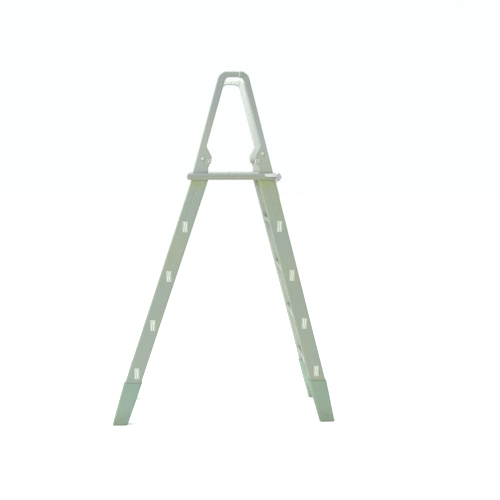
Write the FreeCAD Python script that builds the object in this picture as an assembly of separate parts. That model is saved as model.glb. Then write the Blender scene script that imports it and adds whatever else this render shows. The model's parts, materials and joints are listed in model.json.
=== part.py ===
import FreeCAD, Part
import math
import os

# Pool ladder: an A-frame of four hollow moulded rails, a platform on top and two
# handrail loops. All sizes in millimetres. +X points away from the pool, +Y runs
# across the ladder, +Z is up and the soles stand on Z = 0.

# Overall layout
FOOT_X = 659.0            # rail centre line where it meets the floor
OUTER_LEAN = 14.45        # lean of the rails outside the pool, degrees
INNER_LEAN = 18.59        # lean of the rails inside the pool, degrees
RAIL_Y = 266.5            # middle of each rail, from the centre plane
DECK_BOTTOM = 1531.0
DECK_TOP = 1570.0
LOOP_TOP = 2182.0         # top of the handrail loops

# Rails
RAIL_DEPTH = 98.0
RAIL_WIDTH = 50.0
RAIL_WALL = 4.0
RAIL_ROUND = 10.0
RAIL_GAP = 0.6            # clearance under the platform of the swinging rails

# Treads
TREAD_ZS = [330.0 + 304.8 * step for step in range(4)]
TREAD_DEPTH = 86.0
TREAD_THICK = 28.0
SLOT_SHIFT = {INNER_LEAN: -5.0, OUTER_LEAN: 6.0}   # slot centre, outboard of the rail centre line
SLOT_WIDE = 29.0
SLOT_TALL = 66.0
FLUTE_SHIFT = 4.0
FIT = 0.2                 # easy fit between moulded pieces
TREAD_HALF = RAIL_Y - RAIL_WIDTH / 2

# Platform
DECK_INNER_X = -221.5
DECK_OUTER_X = 320.5
DECK_HALF_Y = 299.0
DECK_WALL = 5.0
NOSE = 17.0

# Handrail loops
LOOP_DEPTH = 33.0         # height of the top bar
LOOP_WIDTH = 40.0
LOOP_WALL = 3.5
LOOP_CORNER = 57.0        # outer radius of both top corners
LOOP_INSIDE_CORNER = 30.0
LOOP_INNER_LEAN = 15.4
LOOP_OUTER_LEAN = 14.35
LOOP_INNER_FOOT = -189.8  # outer edge of the pool-side leg at the platform top
LOOP_OUTER_FOOT = 304.7
SEAM_X = 97.5
SEAM_GAP = 4.0            # filled by the flange of the joiner
SLEEVE = 22.0             # swaged end of the outer half
SLEEVE_STEP = 4.5
JOINER_SCREWS = (SEAM_X - 30.0, SEAM_X + 9.0)
# inner outline of a handrail leg above the platform: distance in from its outer edge, height
POOL_LEG = ((42.8, 1733.0), (91.0, 1672.0), (97.0, 1646.0), (87.0, 1606.0), (93.5, 1584.0))
OUTER_LEG = ((37.0, 1742.0), (87.0, 1676.0), (91.0, 1646.0), (80.0, 1606.0), (87.0, 1584.0))
POOL_LEG_TOP = 47.5
OUTER_LEG_TOP = 37.5
BOLT_D = 8.0
SCREW_INSETS = (32.0, 58.0)
# centres of the tongue bolt and of the square clip in each base: distance in, height
TONGUE_BOLT = {False: (40.0, 1659.0), True: (34.0, 1690.0)}
CLIP_PLACE = {False: (81.0, 1643.0), True: (75.0, 1643.0)}
CLIP_SIDE = 27.0          # square clip over the inner edge of each base
CLIP_HOLE = 17.0

# Folding hinge
PIVOT_X = 338.0
PIVOT_Z = 1548.0
KNUCKLE_R = 12.5
PIN_D = 10.0
PIN_PLAY = 0.05
SCREW_DYS = (-22.5, 22.5)
SIDE_STRAP = 3.0          # metal strap round the platform corner
STRAP_THICK = 3.5         # plate on the outer face of the swinging rail
SIDE_STRAP_X = 252.0
SIDE_SCREWS = (264.0, 304.0)
SIDE_SCREW_Z = 1559.0

# Feet
COLLAR_LOW = 165.0        # along the rail, from the floor
BOOT_TOP = 267.0          # height of the level top rim
COLLAR_WALL = 5.0
COLLAR_BACK = 6.0         # wall on the outboard side, at the top
TOE_DRAW = 7.0            # how far the outboard edge is drawn in at the floor
SPIGOT_DEPTH = 80.0       # lower end of the rail, which slides inside the boot
SPIGOT_WIDTH = 37.0
SPIGOT_SHIFT = -2.5
SOLE = 9.0
TRAVEL = 101.6
HEAD_SINK = 3.0           # clamp bolt heads sit flush in the collar
BOOT_BOLT = 223.0         # height of the clamp bolt along the rail
SLIDE_PLAY = 0.3

V = FreeCAD.Vector
SIDES = (("left", -1), ("right", 1))


def tan(deg):
    return math.tan(math.radians(deg))


def box(x0, x1, y0, y1, z0, z1):
    """Box between six planes, given in any order."""
    x0, x1 = sorted((x0, x1))
    y0, y1 = sorted((y0, y1))
    z0, z1 = sorted((z0, z1))
    return Part.makeBox(x1 - x0, y1 - y0, z1 - z0, V(x0, y0, z0))


def cyl_y(x, z, y0, y1, r):
    """Cylinder across the ladder."""
    y0, y1 = sorted((y0, y1))
    return Part.makeCylinder(r, y1 - y0, V(x, y0, z), V(0, 1, 0))


def hex_y(x, z, y0, y1, flats):
    """Hexagonal bar across the ladder."""
    r = flats / 2 / math.cos(math.pi / 6)
    pts = [(x + r * math.cos(math.pi / 3 * k), z + r * math.sin(math.pi / 3 * k))
           for k in range(6)]
    return prism(pts, y0, y1)


def prism(points, y0, y1):
    """Side-view outline drawn as (x, z) points, pushed across from y0 to y1."""
    y0, y1 = sorted((y0, y1))
    pts = [V(x, y0, z) for x, z in points]
    wire = Part.makePolygon(pts + [pts[0]])
    return Part.Face(wire).extrude(V(0, y1 - y0, 0))


def round_corners(shape, corners):
    """Round the cross-wise edges that pass through given (x, z, radius) corners."""
    for x, z, radius in corners:
        picked = []
        for edge in shape.Edges:
            a = edge.Vertexes[0].Point
            b = edge.Vertexes[-1].Point
            same = abs(a.x - b.x) < 0.01 and abs(a.z - b.z) < 0.01
            if same and abs(a.x - x) < 0.05 and abs(a.z - z) < 0.05:
                picked.append(edge)
        shape = shape.makeFillet(radius, picked)
    return shape


def round_faces(shape, ys, radius):
    """Round every edge that lies in one of the planes Y = ys."""
    picked = []
    for edge in shape.Edges:
        bb = edge.BoundBox
        if any(abs(bb.YMin - y) < 0.01 and abs(bb.YMax - y) < 0.01 for y in ys):
            picked.append(edge)
    return shape.makeFillet(radius, picked)


def bar(depth, width, s0, s1, rounding=0.0, shift=0.0):
    """Upright bar in rail coordinates: centre line on Z, floor point at the origin."""
    out = box(shift - depth / 2, shift + depth / 2, -width / 2, width / 2, s0, s1)
    if rounding:
        uprights = [e for e in out.Edges if abs(e.BoundBox.ZLength - (s1 - s0)) < 0.01]
        out = out.makeFillet(rounding, uprights)
    return out


def lean(shape, angle, y=0.0):
    """Tilt a shape built in rail coordinates to its place, outboard side at +X."""
    out = shape.copy()
    out.rotate(V(0, 0, 0), V(0, 1, 0), -angle)
    out.translate(V(FOOT_X, y, 0))
    return out


def flip(shape):
    """The same shape on the pool side."""
    return shape.mirror(V(0, 0, 0), V(1, 0, 0))


def rail_x(angle, z):
    """Centre line of a rail at height z, outboard side at +X."""
    return FOOT_X - z * tan(angle)


def save(name, *shapes):
    """Write one node; several shapes become a group of separate solids."""
    solids = []
    for shape in shapes:
        solids.extend(shape.Solids)
    for solid in solids:
        if not solid.isValid():
            print("invalid solid in", name)
    out = solids[0] if len(solids) == 1 else Part.makeCompound(solids)
    out.exportStep("parts/" + name + ".step")


def slot_centre(angle, z):
    return rail_x(angle, z) + SLOT_SHIFT[angle]


def rail(angle, hinged):
    """One hollow rail, centred on Y = 0, outboard side at +X."""
    long = 1700.0
    skin = bar(RAIL_DEPTH, RAIL_WIDTH, COLLAR_LOW + SLIDE_PLAY, long, RAIL_ROUND)
    spigot = bar(SPIGOT_DEPTH, SPIGOT_WIDTH, 30.0, COLLAR_LOW + 20, 5.0, SPIGOT_SHIFT)
    skin = skin.fuse(spigot)
    hollow = bar(RAIL_DEPTH - 2 * RAIL_WALL, RAIL_WIDTH - 2 * RAIL_WALL,
                 COLLAR_LOW + 8, long, RAIL_ROUND - RAIL_WALL)
    bore = bar(SPIGOT_DEPTH - 2 * RAIL_WALL, SPIGOT_WIDTH - 2 * RAIL_WALL,
               20.0, COLLAR_LOW + 30, 2.0, SPIGOT_SHIFT)
    skin = skin.cut(hollow).cut(bore)
    groove = box(-5.5, 5.5, -40, 40, BOOT_BOLT - TRAVEL, BOOT_BOLT)
    groove = groove.fuse([cyl_y(0, BOOT_BOLT, -40, 40, 5.5),
                          cyl_y(0, BOOT_BOLT - TRAVEL, -40, 40, 5.5)])
    skin = lean(skin.cut(groove), angle)
    limit = DECK_BOTTOM - RAIL_GAP if hinged else DECK_BOTTOM
    skin = skin.cut(box(-200, 900, -60, 60, limit, 1900))
    # solid top wall, with the tenon of the fixed rails above it
    plug = lean(bar(RAIL_DEPTH - 2 * RAIL_WALL, RAIL_WIDTH - 2 * RAIL_WALL,
                    1450.0, long, RAIL_ROUND - RAIL_WALL), angle)
    skin = skin.fuse(plug.common(box(-200, 900, -60, 60, limit - 8, limit)))
    if not hinged:
        tenon = lean(bar(80.0, 36.0, 1450.0, long, 6.0), angle)
        skin = skin.fuse(tenon.common(box(-200, 900, -60, 60, limit - 1, limit + 26)))
    for z in TREAD_ZS:
        x = slot_centre(angle, z)
        skin = skin.cut(box(x - SLOT_WIDE / 2, x + SLOT_WIDE / 2, -40, 40,
                            z - SLOT_TALL / 2, z + SLOT_TALL / 2))
    return skin.removeSplitter()


def flute(angle, side):
    """Shallow channel from below the platform down to the first slot."""
    low = (TREAD_ZS[-1] + 52) / math.cos(math.radians(angle))
    high = (DECK_BOTTOM - 34) / math.cos(math.radians(angle))
    y = side * (RAIL_WIDTH / 2 + 6.0)
    channel = Part.makeCylinder(8.0, high - low, V(FLUTE_SHIFT, y, low))
    channel = channel.fuse([Part.makeSphere(8.0, V(FLUTE_SHIFT, y, low)),
                            Part.makeSphere(8.0, V(FLUTE_SHIFT, y, high))])
    return lean(channel, angle)


def tread(angle, z):
    """Step with a central keel that becomes the tenon in each rail."""
    x = slot_centre(angle, z)
    top = z + SLOT_TALL / 2 - FIT
    mid = rail_x(angle, top - TREAD_THICK / 2)
    half = TREAD_HALF
    x0 = mid - TREAD_DEPTH / 2
    x1 = mid + TREAD_DEPTH / 2
    slab = box(x0, x1, -half, half, top - TREAD_THICK, top)
    long_edges = [e for e in slab.Edges if e.BoundBox.YLength > 2 * half - 1]
    slab = slab.makeFillet(6.0, long_edges)
    wide = SLOT_WIDE - 2 * FIT
    reach = half + RAIL_WIDTH - 12
    keel = box(x - wide / 2, x + wide / 2, -reach, reach, z - SLOT_TALL / 2 + FIT, top)
    body = slab.fuse(keel)
    body = body.cut(box(x - wide / 2 + 4, x + wide / 2 - 4, -reach - 1, reach + 1,
                        z - SLOT_TALL / 2 + 4.5, top - 6))
    cells = 6
    pitch = (2 * half - 8) / cells
    for k in range(cells):
        y0 = -half + 4 + k * pitch + 1.5
        y1 = y0 + pitch - 3
        for a, b in ((x0 + 5, x - wide / 2 - 1.5), (x + wide / 2 + 1.5, x1 - 5)):
            if b - a > 6:
                body = body.cut(box(a, b, y0, y1, top - TREAD_THICK - 1, top - 5))
    ribs = 7
    for k in range(ribs):
        gx = mid + (k - (ribs - 1) / 2) * 10.5
        body = body.cut(box(gx - 1.6, gx + 1.6, -half + 9, half - 9, top - 1.6, top + 1))
    return body.removeSplitter()


def tread_lock(angle, z, side):
    """Light plug that fills the slot and grips inside the tenon with two prongs."""
    x = slot_centre(angle, z)
    face = RAIL_Y + RAIL_WIDTH / 2
    seat = TREAD_HALF + RAIL_WIDTH - 12
    wide = SLOT_WIDE - 2 * FIT
    tall = SLOT_TALL - 2 * FIT
    head = box(x - wide / 2, x + wide / 2, side * seat, side * (face + 1.5),
               z - tall / 2, z + tall / 2)
    head = round_faces(head, [side * (face + 1.5)], 1.2)
    head = head.cut(box(x - 1.6, x + 1.6, side * (face - 4), side * (face + 3),
                        z - tall / 2 - 1, z + tall / 2 + 1))
    prongs = [box(x + dx - 3, x + dx + 3, side * (seat - 22), side * (seat + 1),
                  z - 22, z + 20) for dx in (-6.8, 6.8)]
    return head.fuse(prongs).removeSplitter()


# ------------------------------------------------------------------ handrail loops
def leg_line(outer, z):
    """Outer edge of a handrail leg at height z."""
    if outer:
        return LOOP_OUTER_FOOT - (z - DECK_TOP) * tan(LOOP_OUTER_LEAN)
    return LOOP_INNER_FOOT + (z - DECK_TOP) * tan(LOOP_INNER_LEAN)


def leg_point(outer, inset, z):
    """Point at a distance inside the outer edge of a handrail leg."""
    sign = -1 if outer else 1
    return (leg_line(outer, z) + sign * inset, z)


def loop_outline(inset):
    """Handrail loop outline; inset moves every side inwards for the hollow."""
    d = inset
    low_z = DECK_TOP - (1 if inset else 0)
    top = LOOP_TOP - d
    under = LOOP_TOP - LOOP_DEPTH + d
    outer_side = [leg_point(True, d, low_z), leg_point(True, d, top),
                  leg_point(False, d, top), leg_point(False, d, low_z)]
    feet = {}
    for outer, leg in ((False, POOL_LEG), (True, OUTER_LEG)):
        base = [(i - d, z) for i, z in leg]
        base.append((base[-1][0], low_z))
        feet[outer] = [leg_point(outer, i, z) for i, z in base]
    inside_top = [leg_point(False, POOL_LEG_TOP - d, under), leg_point(True, OUTER_LEG_TOP - d, under)]
    return outer_side + feet[False][::-1] + inside_top + feet[True]


def loop_solid(inset, width, radii, side_round):
    """Handrail loop with rounded corners."""
    pts = loop_outline(inset)
    out = prism(pts, -width / 2, width / 2)
    for index, radius in radii.items():
        x, z = pts[index]
        out = round_corners(out, [(x, z, radius)])
    if side_round:
        rims = []
        for edge in out.Edges:
            bb = edge.BoundBox
            flat = abs(bb.YLength) < 0.01
            if flat and bb.ZMax > DECK_TOP + 0.1:
                rims.append(edge)
        out = out.makeFillet(side_round, rims)
    return out


def handrail_loop():
    """Whole hollow loop centred on Y = 0, before it is parted at the seam."""
    # outline order: 0 outer foot, 1 outer top, 2 inner top, 3 inner foot,
    # 4-9 pool-side base upwards, 10-11 under the top bar, 12-17 outer base downwards
    outside = loop_solid(0.0, LOOP_WIDTH,
                         {1: LOOP_CORNER, 2: LOOP_CORNER, 10: LOOP_INSIDE_CORNER,
                          11: LOOP_INSIDE_CORNER, 9: 24.0, 12: 24.0, 8: 12.0, 13: 12.0,
                          7: 12.0, 14: 12.0, 6: 14.0, 15: 14.0}, 8.0)
    outside_corner = LOOP_CORNER - LOOP_WALL
    inside_corner = LOOP_INSIDE_CORNER + LOOP_WALL
    inside = loop_solid(LOOP_WALL, LOOP_WIDTH - 2 * LOOP_WALL,
                        {1: outside_corner, 2: outside_corner,
                         10: inside_corner, 11: inside_corner}, 0.0)
    return outside.cut(inside)


def bar_middle():
    return LOOP_TOP - LOOP_DEPTH / 2


def sleeve_block(x0, x1, shrink):
    """Solid with the outline of the swaged end, over a stretch of the top bar."""
    block = box(x0, x1, -LOOP_WIDTH / 2 - 2 + shrink, LOOP_WIDTH / 2 + 2 - shrink,
                LOOP_TOP - LOOP_DEPTH - SLEEVE_STEP + shrink, LOOP_TOP - shrink)
    return block.makeFillet(8.0, [e for e in block.Edges if e.BoundBox.XLength > 0.99 * (x1 - x0)
                                  and e.BoundBox.YLength < 0.01 and e.BoundBox.ZLength < 0.01])


def joiner_bore(grow):
    """Half sizes of the joiner tube across and up, with a clearance."""
    return (LOOP_WIDTH / 2 - LOOP_WALL - 1.0 + grow, LOOP_DEPTH / 2 - LOOP_WALL - 1.2 + grow)


def handrails():
    """The two halves of one loop: pool side with the flat top, and outer side."""
    loop = handrail_loop()
    start = SEAM_X + SEAM_GAP / 2
    inner = loop.common(box(-400, SEAM_X - SEAM_GAP / 2, -60, 60, 1500, 2300))
    outer = loop.common(box(start, 400, -60, 60, 1500, 2300))
    sleeve = sleeve_block(start, start + SLEEVE, 0.0)
    lip = [e for e in sleeve.Edges if abs(e.BoundBox.XMin - start) < 0.01
           and abs(e.BoundBox.XMax - start) < 0.01]
    sleeve = sleeve.makeFillet(1.5, lip)
    w, h = joiner_bore(0.6)
    hole = box(start - 1, start + SLEEVE + 1, -w, w, bar_middle() - h, bar_middle() + h)
    outer = outer.fuse(sleeve.cut(hole)).removeSplitter()
    return inner, outer


def joiner():
    """Tube inside the seam of the loop, with a flange that shows between the halves."""
    w, h = joiner_bore(0.0)
    mid = bar_middle()
    tube = box(SEAM_X - 40, SEAM_X + 15, -w, w, mid - h, mid + h)
    flange = sleeve_block(SEAM_X - SEAM_GAP / 2, SEAM_X + SEAM_GAP / 2, 0.6)
    bore = box(SEAM_X - 42, SEAM_X + 21, -w + 3, w - 3, mid - h + 3, mid + h - 3)
    return tube.fuse(flange).cut(bore)


def joiner_screw(x, side):
    """Screw through the inner face of the bar into the joiner."""
    mid = bar_middle()
    face = LOOP_WIDTH / 2 + (2.0 if x > SEAM_X else 0.0)
    inward = -side
    head = cyl_y(x, mid, inward * face, inward * (face + 2.2), 4.6)
    shank = cyl_y(x, mid, inward * (face - 11), inward * face, 2.4)
    drive = box(x - 3, x + 3, inward * (face + 1.2), inward * (face + 3), mid - 0.6, mid + 0.6)
    return head.fuse(shank).cut(drive)


def base_bolts(outer):
    """Places of the two cross bolts in a handrail base: tongue bolt, clip bolt."""
    return [leg_point(outer, *TONGUE_BOLT[outer]), leg_point(outer, *CLIP_PLACE[outer])]


def edge_clip(outer):
    """Light square clip that wraps over the inner edge of a handrail base."""
    x, z = leg_point(outer, *CLIP_PLACE[outer])
    sign = 1 if outer else -1
    half = CLIP_SIDE / 2
    face = LOOP_WIDTH / 2
    far = x - sign * (half + 2.5)
    out = box(x + sign * half, far, -face - 3, face + 3, z - half, z + half)
    out = round_corners(out, [(far, z - half, 4.0), (far, z + half, 4.0)])
    out = round_faces(out, [-face - 3, face + 3], 1.0)
    hole = CLIP_HOLE / 2
    out = out.cut(box(x - hole, x + hole, -face - 5, face + 5, z - hole, z + hole))
    base = loop_solid(0.0, LOOP_WIDTH, {}, 0.0)
    grown = base.fuse([base.translated(V(-sign * 0.3, 0, 0))])
    return out.cut(grown)


def socket(outer):
    """Tongue that stands on the platform inside a handrail base."""
    pts = [leg_point(outer, 8, DECK_TOP), leg_point(outer, 70, DECK_TOP),
           leg_point(outer, 70, 1662), leg_point(outer, 48, 1712),
           leg_point(outer, 8, 1712)]
    half = LOOP_WIDTH / 2 - LOOP_WALL - 0.6
    out = prism(pts, -half, half)
    for x, z in base_bolts(outer):
        out = out.cut(cyl_y(x, z, -30, 30, BOLT_D / 2))
    low = [leg_point(outer, 16, 1600), leg_point(outer, 64, 1600),
           leg_point(outer, 64, 1620), leg_point(outer, 16, 1620)]
    out = out.cut(prism(low, -30, 30))
    for inset in SCREW_INSETS:
        x = leg_point(outer, inset, DECK_TOP)[0]
        out = out.cut(Part.makeCylinder(3.0, 60, V(x, 0, DECK_TOP - 10)))
    return out


def base_screw(outer, inset):
    """Upright screw from the tongue through the platform skin."""
    x = leg_point(outer, inset, DECK_TOP)[0]
    top = 1600.0
    head = Part.makeCylinder(6.0, 5.0, V(x, 0, top))
    shank = Part.makeCylinder(3.0, 50.0, V(x, 0, top - 50))
    return head.fuse(shank)


def cross_bolt(x, z, side):
    """Bolt shank with its head at the outside and a nut at the inside."""
    face = LOOP_WIDTH / 2
    shank = cyl_y(x, z, -side * (face + 8), side * face, BOLT_D / 2)
    head = hex_y(x, z, side * face, side * (face + 4.5), 12.0)
    return shank.fuse(head)


def bolt_cap(x, z, side):
    """Light round cap over the bolt head."""
    face = LOOP_WIDTH / 2
    cap = cyl_y(x, z, side * face, side * (face + 6.5), 9.0)
    cap = round_faces(cap, [side * (face + 6.5)], 2.5)
    return cap.cut(cyl_y(x, z, side * (face - 1), side * (face + 4.7), 7.2))


def cap_nut(x, z, side):
    """Nut on the inner face of the base."""
    face = LOOP_WIDTH / 2
    nut = hex_y(x, z, -side * face, -side * (face + 6.5), 13.0)
    return nut.cut(cyl_y(x, z, -side * (face - 1), -side * (face + 7), BOLT_D / 2))


# ------------------------------------------------------------------ platform
def platform():
    """Moulded platform: ribbed top, rounded pool edge, skirt and ribs below."""
    body = box(DECK_INNER_X, DECK_OUTER_X, -DECK_HALF_Y, DECK_HALF_Y, DECK_BOTTOM, DECK_TOP)
    body = round_corners(body, [(DECK_INNER_X, DECK_TOP, NOSE), (DECK_INNER_X, DECK_BOTTOM, 14.0),
                                (DECK_OUTER_X, DECK_TOP, 4.0)])
    body = round_faces(body, [-DECK_HALF_Y, DECK_HALF_Y], 3.0)
    # recessed band round the sides, between the top rim and the bottom lip
    for side in (-1, 1):
        band = box(DECK_INNER_X + 24, DECK_OUTER_X - 10, side * (DECK_HALF_Y - 1.6),
                   side * (DECK_HALF_Y + 1), DECK_BOTTOM + 6, DECK_TOP - 15)
        body = body.cut(band)
    band = box(DECK_OUTER_X - 1.6, DECK_OUTER_X + 1, -225, 225, DECK_BOTTOM + 6, DECK_TOP - 15)
    body = body.cut(band)
    # cells below, open at the underside
    xs = [DECK_INNER_X + 22, -72.0, 58.0, 188.0, DECK_OUTER_X - 12]
    ys = [-226.0, -113.0, 0.0, 113.0, 226.0]
    for x0, x1 in zip(xs, xs[1:]):
        for y0, y1 in zip(ys, ys[1:]):
            body = body.cut(box(x0 + 2.5, x1 - 2.5, y0 + 2.5, y1 - 2.5,
                                DECK_BOTTOM - 1, DECK_TOP - 6))
    for side in (-1, 1):
        for x0, x1 in ((-66.0, 60.0), (66.0, 188.0)):
            body = body.cut(box(x0, x1, side * 232, side * (DECK_HALF_Y - DECK_WALL - 2),
                                DECK_BOTTOM - 1, DECK_TOP - 6))
    # sockets of the fixed rails
    for name, side in SIDES:
        hole = lean(bar(80.0 + 2 * FIT, 36.0 + 2 * FIT, 1450.0, 1700.0, 6.0),
                    INNER_LEAN, side * RAIL_Y)
        hole = hole.common(box(-200, 900, -400, 400, DECK_BOTTOM - 1, DECK_BOTTOM + 26.4))
        body = body.cut(flip(hole))
        for outer in (False, True):
            for inset in SCREW_INSETS:
                x = leg_point(outer, inset, DECK_TOP)[0]
                body = body.cut(Part.makeCylinder(3.0, 60, V(x, side * RAIL_Y, DECK_BOTTOM + 10)))
        for dy in SCREW_DYS:
            body = body.cut(Part.makeCylinder(2.5, 23, V(DECK_OUTER_X - 22, side * RAIL_Y + dy,
                                                         PIVOT_Z), V(1, 0, 0)))
        for x in SIDE_SCREWS:
            body = body.cut(cyl_y(x, SIDE_SCREW_Z, side * (DECK_HALF_Y - 20),
                                  side * (DECK_HALF_Y + 1), 2.5))
    # raised treads on the top, made by shallow grooves
    count = 27
    for k in range(count):
        x = -180.0 + k * 17.6
        body = body.cut(box(x - 2.0, x + 2.0, -228, 228, DECK_TOP - 1.8, DECK_TOP + 1))
    return body.removeSplitter()


# ------------------------------------------------------------------ folding hinge
def hinge_bracket(side):
    """Fixed half: a plate on the outer edge of the platform with two cheeks."""
    y = side * RAIL_Y
    face = side * DECK_HALF_Y
    skin = side * (DECK_HALF_Y + SIDE_STRAP)
    out = box(DECK_OUTER_X, DECK_OUTER_X + 4, y - side * 27, skin, DECK_BOTTOM + 1, DECK_TOP - 4)
    out = out.cut(box(DECK_OUTER_X - 1, DECK_OUTER_X + 5, y - 8.6, y + 8.6,
                      DECK_BOTTOM - 1, PIVOT_Z - 3))
    strap = box(SIDE_STRAP_X, PIVOT_X, face, skin, DECK_TOP - 21, DECK_TOP - 2)
    strap = round_corners(strap, [(SIDE_STRAP_X, DECK_TOP - 21, 6.0),
                                  (SIDE_STRAP_X, DECK_TOP - 2, 6.0)])
    ear = prism([(DECK_OUTER_X, DECK_TOP - 2), (DECK_OUTER_X, DECK_TOP - 21),
                 (PIVOT_X, PIVOT_Z - KNUCKLE_R), (PIVOT_X + KNUCKLE_R, PIVOT_Z),
                 (PIVOT_X + 8, DECK_TOP - 9), (PIVOT_X, DECK_TOP - 2)], face, skin)
    out = out.fuse([strap, ear, cyl_y(PIVOT_X, PIVOT_Z, face, skin, KNUCKLE_R)])
    for sign in (-1, 1):
        y0 = y + sign * 8.3
        y1 = y + sign * 17.3
        cheek = prism([(DECK_OUTER_X + 3, PIVOT_Z - 13), (DECK_OUTER_X + 3, PIVOT_Z + 17),
                       (PIVOT_X - 5, PIVOT_Z + 14), (PIVOT_X + 5, PIVOT_Z + 11.4),
                       (PIVOT_X + 5, PIVOT_Z - 11.4), (PIVOT_X, PIVOT_Z - 13)], y0, y1)
        out = out.fuse([cheek, cyl_y(PIVOT_X, PIVOT_Z, y0, y1, KNUCKLE_R)])
    out = out.cut(cyl_y(PIVOT_X, PIVOT_Z, y - 40, y + 40, PIN_D / 2 + PIN_PLAY))
    for dy in SCREW_DYS:
        out = out.cut(Part.makeCylinder(2.5, 20, V(DECK_OUTER_X - 5, y + dy, PIVOT_Z), V(1, 0, 0)))
    for x in SIDE_SCREWS:
        out = out.cut(cyl_y(x, SIDE_SCREW_Z, face - side, skin + side, 2.5))
    return out.removeSplitter()


def bracket_screw(side, dy):
    """Screw through the plate into the platform edge."""
    y = side * RAIL_Y + dy
    head = Part.makeCylinder(4.2, 3.0, V(DECK_OUTER_X + 4, y, PIVOT_Z), V(1, 0, 0))
    shank = Part.makeCylinder(2.5, 26.0, V(DECK_OUTER_X - 22, y, PIVOT_Z), V(1, 0, 0))
    return head.fuse(shank)


def side_screw(side, x):
    """Screw through the strap into the side of the platform."""
    skin = DECK_HALF_Y + SIDE_STRAP
    head = cyl_y(x, SIDE_SCREW_Z, side * skin, side * (skin + 2.6), 4.6)
    head = round_faces(head, [side * (skin + 2.6)], 1.2)
    return head.fuse(cyl_y(x, SIDE_SCREW_Z, side * (DECK_HALF_Y - 18), side * skin, 2.5))


def rail_strap(side):
    """Moving half: a strap on the outer face of the rail ending in a knuckle."""
    y = side * RAIL_Y
    px = PIVOT_X - FOOT_X
    cos_a = math.cos(math.radians(OUTER_LEAN))
    sin_a = math.sin(math.radians(OUTER_LEAN))
    # pivot in rail coordinates
    lx = px * cos_a + PIVOT_Z * sin_a
    ls = PIVOT_Z * cos_a - px * sin_a
    face = RAIL_DEPTH / 2
    thick = STRAP_THICK
    plate = box(face, face + thick, -17, 17, ls - 128, ls - 22)
    plate = plate.makeFillet(6.0, [e for e in plate.Edges
                                   if abs(e.BoundBox.XLength - thick) < 0.01])
    arm = prism([(face, ls - 52), (face, ls - 22), (lx - KNUCKLE_R, ls),
                 (lx + KNUCKLE_R, ls), (lx + KNUCKLE_R - 3, ls - 10), (face + 7, ls - 36)], -8.0, 8.0)
    out = plate.fuse([arm, cyl_y(lx, ls, -8.0, 8.0, KNUCKLE_R)])
    out = out.cut(cyl_y(lx, ls, -20, 20, PIN_D / 2 + PIN_PLAY))
    for ds in (-112, -86):
        out = out.cut(Part.makeCylinder(2.5, 30, V(face - 5, 0, ls + ds), V(1, 0, 0)))
    return lean(out.removeSplitter(), OUTER_LEAN, y), ls


def strap_screw(side, ls, ds):
    """Screw through the strap into the rail."""
    face = RAIL_DEPTH / 2
    head = Part.makeCylinder(4.2, 3.0, V(face + STRAP_THICK, 0, ls + ds), V(1, 0, 0))
    shank = Part.makeCylinder(2.5, 6.0 + STRAP_THICK, V(face - 6, 0, ls + ds), V(1, 0, 0))
    return lean(head.fuse(shank), OUTER_LEAN, side * RAIL_Y)


def hinge_pin(side):
    """Pin through the knuckles, with a flat inner head."""
    y_in = side * (RAIL_Y - 17.8)
    y_out = side * (DECK_HALF_Y + SIDE_STRAP + 10)
    pin = cyl_y(PIVOT_X, PIVOT_Z, y_in, y_out, PIN_D / 2)
    return pin.fuse(hex_y(PIVOT_X, PIVOT_Z, y_in, y_in - side * 6, 17.0))


def wing_knob(x, z, side, y0, bore, height, hub, length):
    """Two-winged hand knob on a cross pin, seated at side * y0."""
    body = cyl_y(x, z, side * y0, side * (y0 + length), hub)
    tip = hub * 0.62
    reach = height / 2 - tip
    low = side * (y0 + length * 0.2)
    high = side * (y0 + length * 0.9)
    wing = prism([(x - hub * 0.8, z), (x - tip, z + reach), (x + tip, z + reach),
                  (x + hub * 0.8, z), (x + tip, z - reach), (x - tip, z - reach)], low, high)
    out = body.fuse([wing, cyl_y(x, z + reach, low, high, tip),
                     cyl_y(x, z - reach, low, high, tip)]).removeSplitter()
    return out.cut(cyl_y(x, z, side * (y0 - 1), side * (y0 + length * 0.8), bore))


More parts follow.
